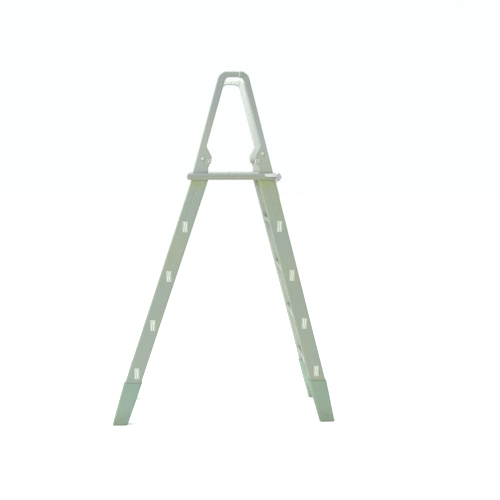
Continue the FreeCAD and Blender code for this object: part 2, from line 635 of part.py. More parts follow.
# ------------------------------------------------------------------ feet
def boot(angle, side):
    """Foot moulding: a sleeve over the rail and a hollow shank, tapering to the floor."""
    width = RAIL_WIDTH + 2 * COLLAR_WALL
    inboard = -RAIL_DEPTH / 2
    outboard = RAIL_DEPTH / 2
    high = 320.0
    body = prism([(inboard, 0), (inboard, -80), (outboard - TOE_DRAW, -80), (outboard - TOE_DRAW, 0),
                  (outboard + COLLAR_BACK, BOOT_TOP), (outboard + COLLAR_BACK, high),
                  (inboard - COLLAR_WALL, high), (inboard - COLLAR_WALL, COLLAR_LOW)],
                 -width / 2, width / 2)
    body = body.makeFillet(RAIL_ROUND + 3, [e for e in body.Edges if e.BoundBox.YLength < 0.01
                                            and e.BoundBox.ZLength > 30])
    body = body.cut(bar(RAIL_DEPTH + 2 * SLIDE_PLAY, RAIL_WIDTH + 2 * SLIDE_PLAY,
                        COLLAR_LOW, high + 5, RAIL_ROUND))
    body = body.cut(bar(SPIGOT_DEPTH + 1, SPIGOT_WIDTH + 1, 26.0, COLLAR_LOW + 5, 5.0, SPIGOT_SHIFT))
    body = body.cut(cyl_y(0, BOOT_BOLT, -50, 50, 5.0 + PIN_PLAY))
    face = side * (RAIL_WIDTH / 2 + COLLAR_WALL)
    body = body.cut(cyl_y(0, BOOT_BOLT, face - side * HEAD_SINK, face + side, 10.2))
    body = lean(body, angle)
    body = body.cut(box(0, 1300, -80, 80, -300, SOLE)).cut(box(0, 1300, -80, 80, BOOT_TOP, 500))
    rim = [e for e in body.Edges if e.BoundBox.ZMin > BOOT_TOP - 0.01
           and (e.BoundBox.YMax > RAIL_WIDTH / 2 + 1 or e.BoundBox.YMin < -RAIL_WIDTH / 2 - 1
                or e.BoundBox.XMin > rail_x(angle, BOOT_TOP) + outboard + 2
                or e.BoundBox.XMax < rail_x(angle, BOOT_TOP) + inboard - 2)]
    return body.makeFillet(1.5, rim).removeSplitter()


def sole(angle):
    """Rubber pad under the boot."""
    half = RAIL_DEPTH / 2 / math.cos(math.radians(angle))
    mid = rail_x(angle, 0)
    y = RAIL_WIDTH / 2 + COLLAR_WALL - 1.5
    pad = box(mid - half + 1.5, mid + half - TOE_DRAW - 3.5, -y, y, 0, SOLE)
    uprights = [e for e in pad.Edges if abs(e.BoundBox.ZLength - SOLE) < 0.01]
    pad = pad.makeFillet(RAIL_ROUND, uprights)
    for k in range(6):
        x = mid - half + 14 + k * 13.5
        pad = pad.cut(box(x - 1.5, x + 1.5, -60, 60, -1, 2.0))
    return pad


def boot_bolt(angle, side):
    """Clamp bolt across the collar, with a flush round head at the outside."""
    half = RAIL_WIDTH / 2 + COLLAR_WALL
    head = cyl_y(0, BOOT_BOLT, side * (half - HEAD_SINK), side * (half + 1.0), 10.0)
    head = round_faces(head, [side * (half + 1.0)], 1.0)
    shank = cyl_y(0, BOOT_BOLT, -side * (half + 14), side * (half - HEAD_SINK), 5.0)
    return lean(head.fuse(shank), angle, side * RAIL_Y)


def boot_knob(angle, side):
    """Hand knob on the inner end of the clamp bolt."""
    y0 = RAIL_WIDTH / 2 + COLLAR_WALL + 0.6
    knob = wing_knob(0, BOOT_BOLT, -side, y0, 5.0 + PIN_PLAY, 52.0, 14.0, 18.0)
    return lean(knob, angle, side * RAIL_Y)


# ------------------------------------------------------------------ write the nodes
os.makedirs("parts", exist_ok=True)

save("platform", platform())

half_inner, half_outer = handrails()
for name, side in SIDES:
    for label, half in (("pool", half_inner), ("outer", half_outer)):
        piece = half.copy()
        for x, z in base_bolts(label == "outer"):
            piece = piece.cut(cyl_y(x, z, -40, 40, BOLT_D / 2))
        for x in JOINER_SCREWS:
            piece = piece.cut(cyl_y(x, bar_middle(), 0, -side * 40, 2.4))
        piece.translate(V(0, side * RAIL_Y, 0))
        save("handrail_" + label + "_" + name, piece)

joiners = []
joiner_screws = []
sockets = []
screws = []
bolts = []
caps = []
clips = []
nuts = []
for name, side in SIDES:
    place = V(0, side * RAIL_Y, 0)
    sleeve = joiner()
    for x in JOINER_SCREWS:
        sleeve = sleeve.cut(cyl_y(x, bar_middle(), 0, -side * 40, 2.4))
        joiner_screws.append(joiner_screw(x, side).translated(place))
    joiners.append(sleeve.translated(place))
    for outer in (False, True):
        sockets.append(socket(outer).translated(place))
        for inset in SCREW_INSETS:
            screws.append(base_screw(outer, inset).translated(place))
        clips.append(edge_clip(outer).translated(place))
        for x, z in base_bolts(outer):
            bolts.append(cross_bolt(x, z, side).translated(place))
            nuts.append(cap_nut(x, z, side).translated(place))
        x, z = base_bolts(outer)[0]
        caps.append(bolt_cap(x, z, side).translated(place))
save("handrail_joiners", *joiners)
save("joiner_screws", *joiner_screws)
save("handrail_sockets", *sockets)
save("socket_screws", *screws)
save("handrail_bolts", *bolts)
save("bolt_caps", *caps)
save("edge_clips", *clips)
save("bolt_nuts", *nuts)

for group, angle in (("pool", INNER_LEAN), ("outer", OUTER_LEAN)):
    turn = flip if group == "pool" else (lambda shape: shape)
    blank = rail(angle, group == "outer")
    locks = []
    for name, side in SIDES:
        piece = blank.cut(flute(angle, side)).translated(V(0, side * RAIL_Y, 0))
        if group == "pool":
            for inset in SCREW_INSETS:
                x = leg_point(False, inset, DECK_TOP)[0]
                hole = Part.makeCylinder(3.0, 200, V(-x, side * RAIL_Y, 1480))
                piece = piece.cut(hole)
        else:
            strap, ls = rail_strap(side)
            save("rail_strap_" + name, strap)
            holes = [lean(Part.makeCylinder(2.5, 30, V(RAIL_DEPTH / 2 - 20, 0, ls + ds),
                                            V(1, 0, 0)), angle, side * RAIL_Y)
                     for ds in (-112, -86)]
            piece = piece.cut(holes)
        save(group + "_rail_" + name, turn(piece))
        locks.extend(turn(tread_lock(angle, z, side)) for z in TREAD_ZS)
        save(group + "_boot_" + name, turn(boot(angle, side).translated(V(0, side * RAIL_Y, 0))))
        save(group + "_sole_" + name, turn(sole(angle).translated(V(0, side * RAIL_Y, 0))))
        save(group + "_boot_bolt_" + name, turn(boot_bolt(angle, side)))
        save(group + "_boot_knob_" + name, turn(boot_knob(angle, side)))
    for index, z in enumerate(TREAD_ZS):
        save(group + "_tread_" + str(index + 1), turn(tread(angle, z)))
    save(group + "_tread_locks", *locks)

bracket_screws = []
strap_screws = []
for name, side in SIDES:
    save("hinge_bracket_" + name, hinge_bracket(side))
    save("hinge_pin_" + name, hinge_pin(side))
    knob = wing_knob(PIVOT_X, PIVOT_Z, side, DECK_HALF_Y + SIDE_STRAP + 0.6,
                     PIN_D / 2 + PIN_PLAY, 50.0, 15.0, 16.0)
    save("hinge_knob_" + name, knob)
    bracket_screws.extend(bracket_screw(side, dy) for dy in SCREW_DYS)
    bracket_screws.extend(side_screw(side, x) for x in SIDE_SCREWS)
    ls = rail_strap(side)[1]
    strap_screws.extend(strap_screw(side, ls, ds) for ds in (-112, -86))
save("bracket_screws", *bracket_screws)
save("strap_screws", *strap_screws)
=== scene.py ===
import bmesh
import bpy
import json
import math
from mathutils import Matrix, Vector


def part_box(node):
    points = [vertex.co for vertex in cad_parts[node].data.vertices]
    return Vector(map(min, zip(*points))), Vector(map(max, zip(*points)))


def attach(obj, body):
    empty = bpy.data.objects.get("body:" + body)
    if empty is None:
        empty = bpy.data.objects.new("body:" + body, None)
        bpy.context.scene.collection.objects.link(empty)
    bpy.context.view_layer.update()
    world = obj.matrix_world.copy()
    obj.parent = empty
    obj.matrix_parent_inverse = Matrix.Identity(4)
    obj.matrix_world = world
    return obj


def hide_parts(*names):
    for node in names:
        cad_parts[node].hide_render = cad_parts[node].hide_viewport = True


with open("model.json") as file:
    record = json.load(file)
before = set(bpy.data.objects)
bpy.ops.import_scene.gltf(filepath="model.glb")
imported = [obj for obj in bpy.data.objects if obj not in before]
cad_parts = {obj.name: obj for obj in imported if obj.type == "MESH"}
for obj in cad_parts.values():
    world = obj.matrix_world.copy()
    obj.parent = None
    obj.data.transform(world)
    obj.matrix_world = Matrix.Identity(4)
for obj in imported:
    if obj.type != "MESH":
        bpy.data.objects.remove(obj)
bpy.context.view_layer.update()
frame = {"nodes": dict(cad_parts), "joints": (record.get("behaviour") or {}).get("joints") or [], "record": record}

MM = 0.001
SEAM_Y = 0.2665           # middle of the rails and handrails, from the centre plane
SIDES = (("left", -1), ("right", 1))

# looks of the plastic: heights in metres above the floor, at rest
WAVES = 1.1 * MM                  # slow waves of a moulded wall
GRAIN = 0.16 * MM                 # fine grain
SEAM_HEIGHT = 0.6 * MM            # mould seam along the side bars
STAIN = 0.30                      # strength of streaks and specks
INSIDE_FACE = (-0.08, -0.19)      # see across_centre: where the painted light on faces between the two sides starts and is full
HANDLED_HEIGHTS = (1.72, 2.10)    # handrails, from clean to worn
DECK_SHADOW_HEIGHTS = (1.455, 1.525)   # painted olive-tinted shadow on the rails, just under the platform
TRAIL_HEIGHTS = (1.24, 1.52)      # olive streaks below it
# olive of the painted shadow under the platform and of the streaks below it
OLIVE_SHADOW_AND_STREAKS = (0.275, 0.325, 0.135, 1)
SPLASH_TOP = 0.13                 # highest splash on the boots
SIDE_LINE = (1.5490, 1.5515)      # change of tone on the platform's side

# ------------------------------------------------------------------ camera and light
EYE = (-0.1295, -5.2255, 1.663)
PITCH_DOWN = 6.5
YAW_RIGHT = 3.38
LENS = 58.1


def add_camera():
    data = bpy.data.cameras.new("view")
    data.lens = LENS
    data.sensor_width = 36.0
    data.clip_end = 100.0
    camera = bpy.data.objects.new("view", data)
    camera.location = EYE
    camera.rotation_euler = (math.radians(90 - PITCH_DOWN), 0, math.radians(-YAW_RIGHT))
    bpy.context.scene.collection.objects.link(camera)
    bpy.context.scene.camera = camera


def add_soft_light(name, place, aim, size, power, tint):
    data = bpy.data.lights.new(name, "AREA")
    data.shape = "RECTANGLE"
    data.size = size[0]
    data.size_y = size[1]
    data.energy = power
    data.color = tint
    lamp = bpy.data.objects.new(name, data)
    lamp.location = place
    direction = Vector(aim) - Vector(place)
    lamp.rotation_euler = direction.to_track_quat("-Z", "Y").to_euler()
    bpy.context.scene.collection.objects.link(lamp)


def light_the_room():
    """White room, with the brightest soft light high on the pool side."""
    world = bpy.data.worlds.new("room")
    bpy.context.scene.world = world
    world.use_nodes = True
    sky = world.node_tree.nodes["Background"]
    sky.inputs["Color"].default_value = (0.985, 0.995, 1.0, 1)
    sky.inputs["Strength"].default_value = 1.0
    add_soft_light("key", (-3.6, -2.6, 5.0), (0, 0, 1.0), (2.0, 2.0), 110, (1.0, 0.985, 0.96))
    add_soft_light("side", (-4.8, 0.2, 1.8), (0, 0, 1.1), (2.4, 2.4), 110, (1.0, 1.0, 0.99))
    add_soft_light("back", (2.2, 4.2, 4.4), (0, 0, 1.2), (2.4, 2.0), 60, (0.98, 1.0, 1.0))
    add_soft_light("between", (-0.6, -0.12, 3.3), (0.1, 0.27, 1.0), (1.4, 0.2), 26, (1.0, 1.0, 1.0))
    bpy.context.scene.view_settings.view_transform = "Standard"


def add_floor():
    """Pale floor, wide enough to meet the white room far behind the ladder."""
    clear_selection()
    bpy.ops.mesh.primitive_plane_add(size=60, location=(0, 0, -0.5 * MM))
    floor = bpy.context.object
    floor.name = "studio_floor"
    paint, _, skin = new_paint("studio_floor")
    skin.inputs["Base Color"].default_value = (0.975, 0.98, 0.98, 1)
    skin.inputs["Roughness"].default_value = 0.95
    skin.inputs["Emission Color"].default_value = (1.0, 1.0, 1.0, 1)
    skin.inputs["Emission Strength"].default_value = 0.06
    floor.data.materials.append(paint)


# ------------------------------------------------------------------ finishes
def node(tree, kind, **values):
    made = tree.nodes.new(kind)
    for key, value in values.items():
        setattr(made, key, value)
    return made


def noise(tree, place, scale, detail, rough=0.5, stretch=None):
    """Noise on the piece's own coordinates, stretched along an axis where asked."""
    if stretch:
        turn = node(tree, "ShaderNodeMapping")
        turn.inputs["Scale"].default_value = stretch
        tree.links.new(place, turn.inputs["Vector"])
        place = turn.outputs["Vector"]
    made = node(tree, "ShaderNodeTexNoise")
    made.inputs["Scale"].default_value = scale
    made.inputs["Detail"].default_value = detail
    made.inputs["Roughness"].default_value = rough
    tree.links.new(place, made.inputs["Vector"])
    return made.outputs["Fac"]


def ramp(tree, source, stops):
    """Grey ramp through (place, value) stops."""
    made = node(tree, "ShaderNodeValToRGB")
    elements = made.color_ramp.elements
    while len(elements) < len(stops):
        elements.new(0.5)
    for element, (place, value) in zip(elements, stops):
        element.position = place
        element.color = (value, value, value, 1)
    tree.links.new(source, made.inputs["Fac"])
    return made.outputs["Color"]


def mix(tree, amount, first, second):
    """Blend of two colours, each a socket or a value."""
    made = node(tree, "ShaderNodeMix", data_type="RGBA")
    for socket, value in ((0, amount), (6, first), (7, second)):
        if isinstance(value, (float, tuple)):
            made.inputs[socket].default_value = value
        else:
            tree.links.new(value, made.inputs[socket])
    return made.outputs[2]


def sums(tree, operation, first, second=None):
    """One step of arithmetic between sockets or numbers."""
    made = node(tree, "ShaderNodeMath", operation=operation)
    for socket, value in enumerate((first, second)):
        if isinstance(value, float):
            made.inputs[socket].default_value = value
        elif value is not None:
            tree.links.new(value, made.inputs[socket])
    return made.outputs[0]


def rise(tree, source, low, high):
    """0 below low, 1 above high, smooth between; the other way round where low is higher."""
    made = node(tree, "ShaderNodeMapRange", interpolation_type="SMOOTHSTEP")
    made.inputs["From Min"].default_value = low
    made.inputs["From Max"].default_value = high
    tree.links.new(source, made.inputs["Value"])
    return made.outputs["Result"]


def split(tree, vector):
    made = node(tree, "ShaderNodeSeparateXYZ")
    tree.links.new(vector, made.inputs["Vector"])
    return made.outputs


def shade_of(colour, factors):
    return tuple(min(1.0, c * f) for c, f in zip(colour, factors)) + (1,)


def bump(tree, height, distance, strength=1.0, under=None):
    made = node(tree, "ShaderNodeBump")
    made.inputs["Distance"].default_value = distance
    made.inputs["Strength"].default_value = strength
    tree.links.new(height, made.inputs["Height"])
    if under is not None:
        tree.links.new(under, made.inputs["Normal"])
    return made.outputs["Normal"]


def occlusion(tree, reach, inside=False):
    made = node(tree, "ShaderNodeAmbientOcclusion", samples=6, inside=inside)
    made.inputs["Distance"].default_value = reach
    return made.outputs["AO"]


def times(tree, first, second):
    return sums(tree, "MULTIPLY", first, second)


def height_of(tree, place):
    return split(tree, place)["Z"]


def across_centre(tree, place, facing):
    """Y of the place times Y of the normal: negative on faces between the two sides."""
    return times(tree, split(tree, place)["Y"], facing["Y"])


def weathered(tree, place, facing, colour):
    """Slow drift of tone, sun-bleached tops, water streaks and specks."""
    cloudy = noise(tree, place, 3.2, 3, 0.55)
    patchy = noise(tree, place, 5.5, 2, 0.4, (1.0, 1.0, 0.6))
    streaks = noise(tree, place, 14.0, 4, 0.6, (1.0, 1.0, 0.09))
    specks = noise(tree, place, 140.0, 3, 0.7)
    cool = shade_of(colour, (0.93, 0.985, 1.03))
    warm = shade_of(colour, (1.03, 1.02, 0.93))
    base = mix(tree, ramp(tree, patchy, [(0.36, 0.0), (0.64, 1.0)]), cool, warm)
    base = mix(tree, ramp(tree, cloudy, [(0.30, 0.35), (0.62, 0.0)]), base,
               shade_of(colour, (0.88, 0.88, 0.88)))
    bleach = times(tree, rise(tree, facing["Z"], 0.2, 1.0), 0.35)
    base = mix(tree, bleach, base, shade_of(colour, (1.16, 1.14, 1.14)))
    soil = shade_of(colour, (0.84, 0.81, 0.72))
    base = mix(tree, ramp(tree, streaks, [(0.54, 0.0), (0.76, STAIN)]), base, soil)
    return mix(tree, ramp(tree, specks, [(0.67, 0.0), (0.75, STAIN * 0.7)]), base, soil)


def painted_light_inside(tree, base, place, facing, colour):
    """Painted light: faces between the two sides are painted much paler, as if lit by glare off the water."""
    inside = rise(tree, across_centre(tree, place, facing), *INSIDE_FACE)
    # painted light: the inside faces lifted to a much paler shade
    return mix(tree, inside, base, shade_of(colour, (1.62, 1.56, 1.64)))


def handled_top(tree, base, place, facing, colour):
    """Outer faces darken towards the top of the loop, where hands hold it."""
    worn = times(tree, rise(tree, height_of(tree, place), *HANDLED_HEIGHTS), 0.85)
    outside = rise(tree, across_centre(tree, place, facing), *reversed(INSIDE_FACE))
    return mix(tree, times(tree, worn, outside), base, shade_of(colour, (0.76, 0.78, 0.80)))


def trodden(tree, base, place, facing, colour):
    """Scuffs and trodden-in dirt, on upward faces only."""
    scuffs = noise(tree, place, 34.0, 5, 0.72, (1.0, 0.45, 1.0))
    marks = times(tree, rise(tree, scuffs, 0.52, 0.72), rise(tree, facing["Z"], 0.6, 0.95))
    return mix(tree, times(tree, marks, 0.55), base, shade_of(colour, (0.58, 0.56, 0.50)))


def splashed_foot(tree, base, place, facing, colour):
    """Splashed soil that fades upwards from the floor."""
    low = rise(tree, height_of(tree, place), SPLASH_TOP, 0.0)
    drops = ramp(tree, noise(tree, place, 46.0, 5, 0.7), [(0.38, 0.15), (0.66, 0.9)])
    return mix(tree, times(tree, low, drops), base, shade_of(colour, (0.74, 0.70, 0.58)))


def painted_deck_shadow_and_olive_streaks(tree, base, place, facing, colour):
    """Painted olive-tinted shadow just under the platform, with olive streaks running down below it."""
    height = height_of(tree, place)
    blotches = ramp(tree, noise(tree, place, 17.0, 4, 0.6), [(0.34, 0.30), (0.60, 0.95)])
    # painted shadow under the platform's overhang, in an olive tint
    patch = times(tree, rise(tree, height, *DECK_SHADOW_HEIGHTS), blotches)
    runs = noise(tree, place, 30.0, 3, 0.5, (1.0, 0.6, 0.07))
    trail = times(tree, rise(tree, height, *TRAIL_HEIGHTS),
                  ramp(tree, runs, [(0.50, 0.0), (0.66, 0.55)]))
    return mix(tree, sums(tree, "MAXIMUM", patch, trail), base, OLIVE_SHADOW_AND_STREAKS)


def two_tone_side(tree, base, place, facing, colour):
    """The side of the platform: cooler above a level line, yellower and darker below it."""
    height = height_of(tree, place)
    sideways = rise(tree, sums(tree, "ABSOLUTE", facing["Z"]), 0.75, 0.35)
    above = times(tree, rise(tree, height, *SIDE_LINE), sideways)
    below = times(tree, rise(tree, height, *reversed(SIDE_LINE)), sideways)
    base = mix(tree, above, base, shade_of(colour, (0.93, 0.92, 0.99)))
    return mix(tree, times(tree, below, 0.75), base, shade_of(colour, (0.93, 0.90, 0.76)))


def painted_shade_dirt_and_rubbed_edges(tree, base, colour, crevice_shade_and_dirt_amount):
    """Painted shade with dirt, darker in hollows and where pieces meet, from occlusion; and pale rubbed edges."""
    # painted shade and dirt: darker in hollows and where pieces meet, from occlusion
    crevice_shade_and_dirt = ramp(tree, occlusion(tree, 16 * MM), [(0.30, crevice_shade_and_dirt_amount), (0.85, 0.0)])
    base = mix(tree, crevice_shade_and_dirt, base, shade_of(colour, (0.52, 0.50, 0.42)))
    rubbed = ramp(tree, occlusion(tree, 3.0 * MM, inside=True), [(0.45, 0.45), (0.80, 0.0)])
    return mix(tree, rubbed, base, shade_of(colour, (1.22, 1.20, 1.20)))


def moulded_surface(tree, place, seam):
    """Soft waves, fine grain and, on side bars, a faint mould seam along the middle."""
    surface = bump(tree, noise(tree, place, 11.0, 2, 0.4), WAVES, 0.5)
    surface = bump(tree, noise(tree, place, 850.0, 2, 0.6), GRAIN, 0.8, surface)
    if seam:
        apart = sums(tree, "SUBTRACT", sums(tree, "ABSOLUTE", split(tree, place)["Y"]), SEAM_Y)
        ridge = rise(tree, sums(tree, "ABSOLUTE", apart), 1.2 * MM, 0.0)
        surface = bump(tree, ridge, SEAM_HEIGHT, 1.0, surface)
    return surface


def new_paint(name):
    """A material with its node tree and its main shader."""
    paint = bpy.data.materials.new(name)
    paint.use_nodes = True
    return paint, paint.node_tree, paint.node_tree.nodes["Principled BSDF"]


# one argument sets how dark the painted shade and dirt in hollows and joints are
def moulded_plastic(name, colour, roughness=0.46, seam=False, crevice_shade_and_dirt_amount=0.5, marks=()):
    """Blow-moulded plastic, sun-faded and lightly weathered, with further marks on top."""
    paint, tree, skin = new_paint(name)
    coords = node(tree, "ShaderNodeTexCoord")
    place = coords.outputs["Object"]
    facing = split(tree, coords.outputs["Normal"])
    base = weathered(tree, place, facing, colour)
    for mark in marks:
        base = mark(tree, base, place, facing, colour)
    tree.links.new(painted_shade_dirt_and_rubbed_edges(tree, base, colour, crevice_shade_and_dirt_amount), skin.inputs["Base Color"])
    cloudy = noise(tree, place, 3.2, 3, 0.55)
    rough = ramp(tree, cloudy, [(0.3, roughness - 0.05), (0.75, roughness + 0.08)])
    tree.links.new(rough, skin.inputs["Roughness"])
    skin.inputs["Specular IOR Level"].default_value = 0.42
    skin.inputs["Subsurface Weight"].default_value = 0.06
    skin.inputs["Subsurface Radius"].default_value = (0.004, 0.004, 0.003)
    skin.inputs["Subsurface Scale"].default_value = 1.0
    tree.links.new(moulded_surface(tree, place, seam), skin.inputs["Normal"])
    return paint


def polished_steel(name):
    """Stamped stainless steel: rolled grain, handling marks and dull spots."""
    paint, tree, skin = new_paint(name)
    place = node(tree, "ShaderNodeTexCoord").outputs["Object"]
    skin.inputs["Metallic"].default_value = 1.0
    cloudy = noise(tree, place, 40.0, 4, 0.6)
    spots = noise(tree, place, 210.0, 3, 0.6)
    base = mix(tree, cloudy, (0.62, 0.63, 0.63, 1), (0.82, 0.82, 0.81, 1))
    base = mix(tree, ramp(tree, spots, [(0.62, 0.0), (0.74, 0.6)]), base, (0.42, 0.40, 0.36, 1))
    # painted shade and dirt: darker in hollows and where the steel meets other parts, from occlusion
    base = mix(tree, ramp(tree, occlusion(tree, 5 * MM), [(0.3, 0.6), (0.8, 0.0)]), base,
               (0.24, 0.23, 0.20, 1))
    tree.links.new(base, skin.inputs["Base Color"])
    tree.links.new(ramp(tree, cloudy, [(0.3, 0.20), (0.8, 0.42)]), skin.inputs["Roughness"])
    scratch = noise(tree, place, 260.0, 4, 0.7, (1.0, 0.08, 1.0))
    tree.links.new(bump(tree, scratch, 0.1 * MM), skin.inputs["Normal"])
    return paint


def dull_rubber(name, colour):
    """Matt rubber, dusty in its pores."""
    paint, tree, skin = new_paint(name)
    place = node(tree, "ShaderNodeTexCoord").outputs["Object"]
    dusty = ramp(tree, noise(tree, place, 70.0, 5, 0.7), [(0.4, 0.0), (0.75, 1.0)])
    base = mix(tree, dusty, shade_of(colour, (1, 1, 1)), shade_of(colour, (1.5, 1.45, 1.4)))
    tree.links.new(base, skin.inputs["Base Color"])
    skin.inputs["Roughness"].default_value = 0.85
    tree.links.new(bump(tree, noise(tree, place, 420.0, 3, 0.7), 0.4 * MM), skin.inputs["Normal"])
    return paint


FINISHES = {
    "handrail_plastic": moulded_plastic("handrail_plastic", (0.312, 0.343, 0.308), seam=True,
                                        marks=(painted_light_inside, handled_top)),
    "rail_plastic": moulded_plastic("rail_plastic", (0.282, 0.322, 0.258), seam=True,
                                    marks=(painted_light_inside, painted_deck_shadow_and_olive_streaks)),
    "deck_plastic": moulded_plastic("deck_plastic", (0.300, 0.340, 0.288),
                                    marks=(trodden, two_tone_side)),
    "tread_plastic": moulded_plastic("tread_plastic", (0.330, 0.370, 0.308), marks=(trodden,)),
    "boot_plastic": moulded_plastic("boot_plastic", (0.236, 0.312, 0.242), seam=True,
                                    marks=(painted_light_inside, splashed_foot)),
    "lock_plastic": moulded_plastic("lock_plastic", (0.76, 0.81, 0.72), 0.36, crevice_shade_and_dirt_amount=1.0),
    "cap_plastic": moulded_plastic("cap_plastic", (0.47, 0.50, 0.42), 0.32),
    "knob_plastic": moulded_plastic("knob_plastic", (0.36, 0.40, 0.40), 0.42),
    "sole_rubber": dull_rubber("sole_rubber", (0.20, 0.225, 0.18)),
    "steel": polished_steel("steel"),
}


def dress_cad_nodes():
    """Give every carried-over solid the finish of its slot."""
    for part in frame["record"]["subparts"]:
        solid = frame["nodes"][part["node"]]
        solid.data.materials.clear()
        solid.data.materials.append(FINISHES[part["material_slot"]])


# ------------------------------------------------------------------ modelling helpers
def clear_selection():
    if bpy.context.object and bpy.context.object.mode != "OBJECT":
        bpy.ops.object.mode_set(mode="OBJECT")
    bpy.ops.object.select_all(action="DESELECT")


def start_edit():
    bpy.ops.object.mode_set(mode="EDIT")
    bpy.ops.mesh.select_mode(type="FACE")
    bpy.ops.mesh.select_all(action="DESELECT")


def end_edit():
    bpy.ops.object.mode_set(mode="OBJECT")


def pick_faces(rule):
    """Select only the faces that a rule accepts, by their middle and normal."""
    mesh = bmesh.from_edit_mesh(bpy.context.object.data)
    bpy.ops.mesh.select_all(action="DESELECT")
    for face in mesh.faces:
        face.select_set(rule(face.calc_center_median(), face.normal))
    bmesh.update_edit_mesh(bpy.context.object.data)


def inset(thickness, depth=0.0):
    bpy.ops.mesh.inset(thickness=thickness, depth=depth)


def push(vector):
    bpy.ops.mesh.extrude_region_move(TRANSFORM_OT_translate={"value": vector})


def swell(factors, centre):
    bpy.ops.transform.resize(value=factors, center_override=centre)


def finish_with(kind, **settings):
    """Add a modifier to the active piece and apply it."""
    piece = bpy.context.object
    modifier = piece.modifiers.new(kind.lower(), kind)
    for key, value in settings.items():
        setattr(modifier, key, value)
    bpy.ops.object.modifier_apply(modifier=modifier.name)


def soften(width, segments=2):
    finish_with("BEVEL", width=width, segments=segments, limit_method="ANGLE",
                angle_limit=math.radians(35))


def smooth_by_angle(degrees=40):
    bpy.ops.object.shade_smooth_by_angle(angle=math.radians(degrees))


def carve(cutters):
    """Cut other solids out of the active piece and remove them."""
    piece = bpy.context.object
    for cutter in cutters:
        modifier = piece.modifiers.new("cut", "BOOLEAN")
        modifier.operation = "DIFFERENCE"
        modifier.solver = "EXACT"
        modifier.object = cutter
        bpy.ops.object.modifier_apply(modifier=modifier.name)
        bpy.data.objects.remove(cutter)


def add_block(size, centre):
    clear_selection()
    bpy.ops.mesh.primitive_cube_add(size=1, location=centre)
    bpy.context.object.scale = size
    bpy.ops.object.transform_apply(location=True, rotation=True, scale=True)
    return bpy.context.object


def add_round(radius, low, high, sides=32):
    """Upright cylinder between two heights."""
    clear_selection()
    bpy.ops.mesh.primitive_cylinder_add(vertices=sides, radius=radius, depth=high - low,
                                        location=(0, 0, (low + high) / 2))
    bpy.ops.object.transform_apply(location=True, rotation=True, scale=True)
    return bpy.context.object


def join(pieces):
    clear_selection()
    for piece in pieces:
        piece.select_set(True)
    bpy.context.view_layer.objects.active = pieces[0]
    bpy.ops.object.join()
    return bpy.context.object


def placed_copy(pattern, matrix):
    """A copy of a pattern with its own mesh, moved in the mesh itself."""
    copy = pattern.copy()
    copy.data = pattern.data.copy()
    copy.data.transform(matrix)
    bpy.context.scene.collection.objects.link(copy)
    return copy


def facing_out(place, outwards, upright=(0, 0, 1)):
    """Matrix that stands a pattern on a surface: its Z along outwards, its Y near upright."""
    z = Vector(outwards).normalized()
    x = Vector(upright).cross(z).normalized()
    y = z.cross(x)
    turn = Matrix((x, y, z)).transposed().to_4x4()
    return Matrix.Translation(Vector(place)) @ turn


def hand_over(piece, name, body, finish, *replaced):
    """Name, dress and attach a finished piece."""
    piece.name = name
    piece.data.name = name
    piece.data.materials.clear()
    piece.data.materials.append(FINISHES[finish])
    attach(piece, body)
    if replaced:
        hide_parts(*replaced)


def drop(pattern):
    bpy.data.objects.remove(pattern)


def middle(node_name):
    low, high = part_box(node_name)
    return (low + high) / 2


def lone_solids(node_name):
    """Boxes of the separate solids in one carried-over node."""
    mesh = bmesh.new()
    mesh.from_mesh(frame["nodes"][node_name].data)
    bmesh.ops.remove_doubles(mesh, verts=mesh.verts, dist=0.01 * MM)
    left = set(mesh.verts)
    boxes = []
    while left:
        group = [left.pop()]
        for vert in group:
            for edge in vert.link_edges:
                other = edge.other_vert(vert)
                if other in left:
                    left.discard(other)
                    group.append(other)
        corners = [[vert.co[axis] for vert in group] for axis in range(3)]
        boxes.append((Vector([min(c) for c in corners]), Vector([max(c) for c in corners])))
    mesh.free()
    return sorted(boxes, key=lambda pair: tuple(round(c, 4) for c in pair[0]))


# ------------------------------------------------------------------ hand knobs
def knob_pattern(hub, reach, length):
    """Two-winged hand knob standing on its seat: axis along Z, wings along X."""
    sides = 24
    knob = add_round(hub, 0.0, length, sides)
    start_edit()
    for height in (0.16, 0.30, 0.84):
        bpy.ops.mesh.select_all(action="SELECT")
        bpy.ops.mesh.bisect(plane_co=(0, 0, height * length), plane_no=(0, 0, 1))
    # wings: three pulls on each side, narrower each time
    tip = reach - hub
    for way in (-1, 1):
        pick_faces(lambda c, n: 0.30 * length < c.z < 0.84 * length and n.x * way > 0.80)
        for share, narrow in ((0.45, 0.86), (0.35, 1.0), (0.20, 0.72)):
            push((way * tip * share, 0, 0))
            swell((1, narrow, 0.94), (0, 0, 0.57 * length))

    def is_rib(centre, normal):
        turn = math.atan2(normal.y, normal.x) / (2 * math.pi / sides)
        on_side = 0.30 * length < centre.z < 0.84 * length and abs(normal.z) < 0.1
        return on_side and abs(normal.x) < 0.6 and int(round(turn - 0.5)) % 2 == 0

    # finger ribs round the hub
    pick_faces(is_rib)
    bpy.ops.mesh.extrude_faces_move(TRANSFORM_OT_shrink_fatten={"value": 0.7 * MM})
    # foot flange drawn in, face dished round a raised boss
    pick_faces(lambda c, n: 0.16 * length < c.z < 0.30 * length and abs(n.z) < 0.5)
    bpy.ops.mesh.extrude_region_shrink_fatten(TRANSFORM_OT_shrink_fatten={"value": -1.4 * MM})
    pick_faces(lambda c, n: n.z > 0.9 and c.z > 0.99 * length)
    inset(0.16 * hub)
    inset(0.10 * hub, -0.09 * length)
    inset(0.22 * hub)
    inset(0.06 * hub, 0.06 * length)
    end_edit()
    finish_with("SUBSURF", levels=2, render_levels=2)
    smooth_by_angle(50)
    return knob


